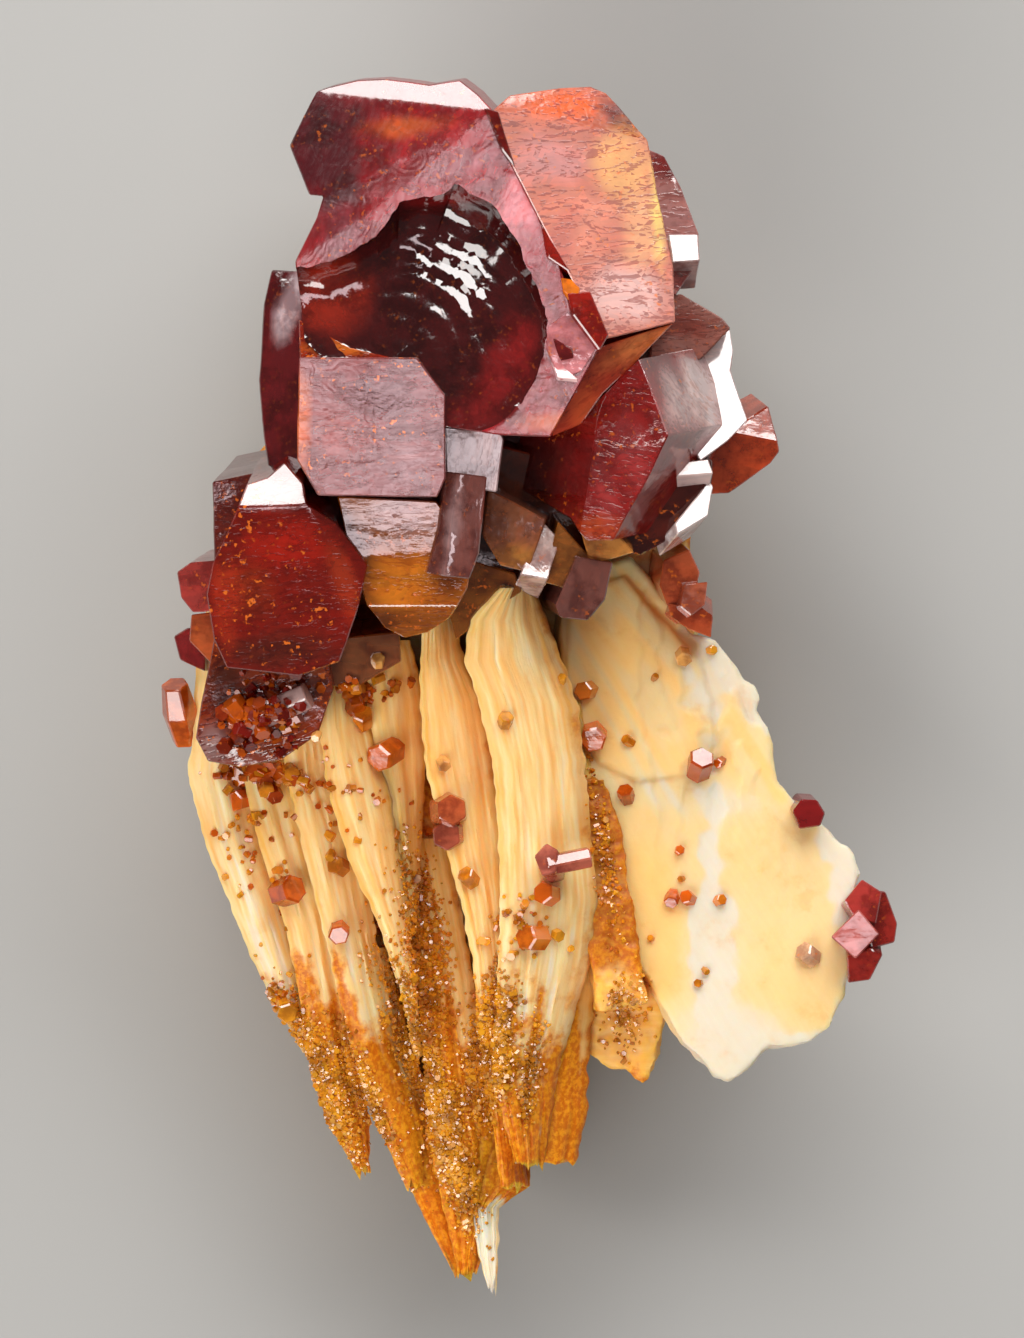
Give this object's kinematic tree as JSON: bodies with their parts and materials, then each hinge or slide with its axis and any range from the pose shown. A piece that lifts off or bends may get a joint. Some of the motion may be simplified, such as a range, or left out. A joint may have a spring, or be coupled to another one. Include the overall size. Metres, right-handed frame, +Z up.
{
  "type": "vanadinite on matrix",
  "caption": "Mineral specimen: deep red hexagonal crystals in a stepped cluster on a fan of thin cream blades and a broad ragged plate.",
  "frame": {"origin": "middle of the footprint, on the face that it rests on", "axes": "+X to the specimen's right, +Y towards the large crystal at its top, +Z up, out of its front"},
  "size_m": [0.0275, 0.045, 0.0182],
  "materials": {
    "barite": "satin, striated, slightly translucent",
    "vanadinite": "glossy natural crystal, deep red, see-through where thin",
    "vanadinite_small": "glossy natural crystal, orange red"
  },
  "bodies": {
    "root": {"barite_matrix": "barite", "main_cluster": "vanadinite", "left_edge_crystal": "vanadinite_small", "shoulder_crystals": "vanadinite_small", "plate_edge_cluster": "vanadinite_small", "plate_edge_crystal": "vanadinite_small", "blade_bar": "vanadinite_small", "blade_knob": "vanadinite_small"}
  },
  "joints": []
}
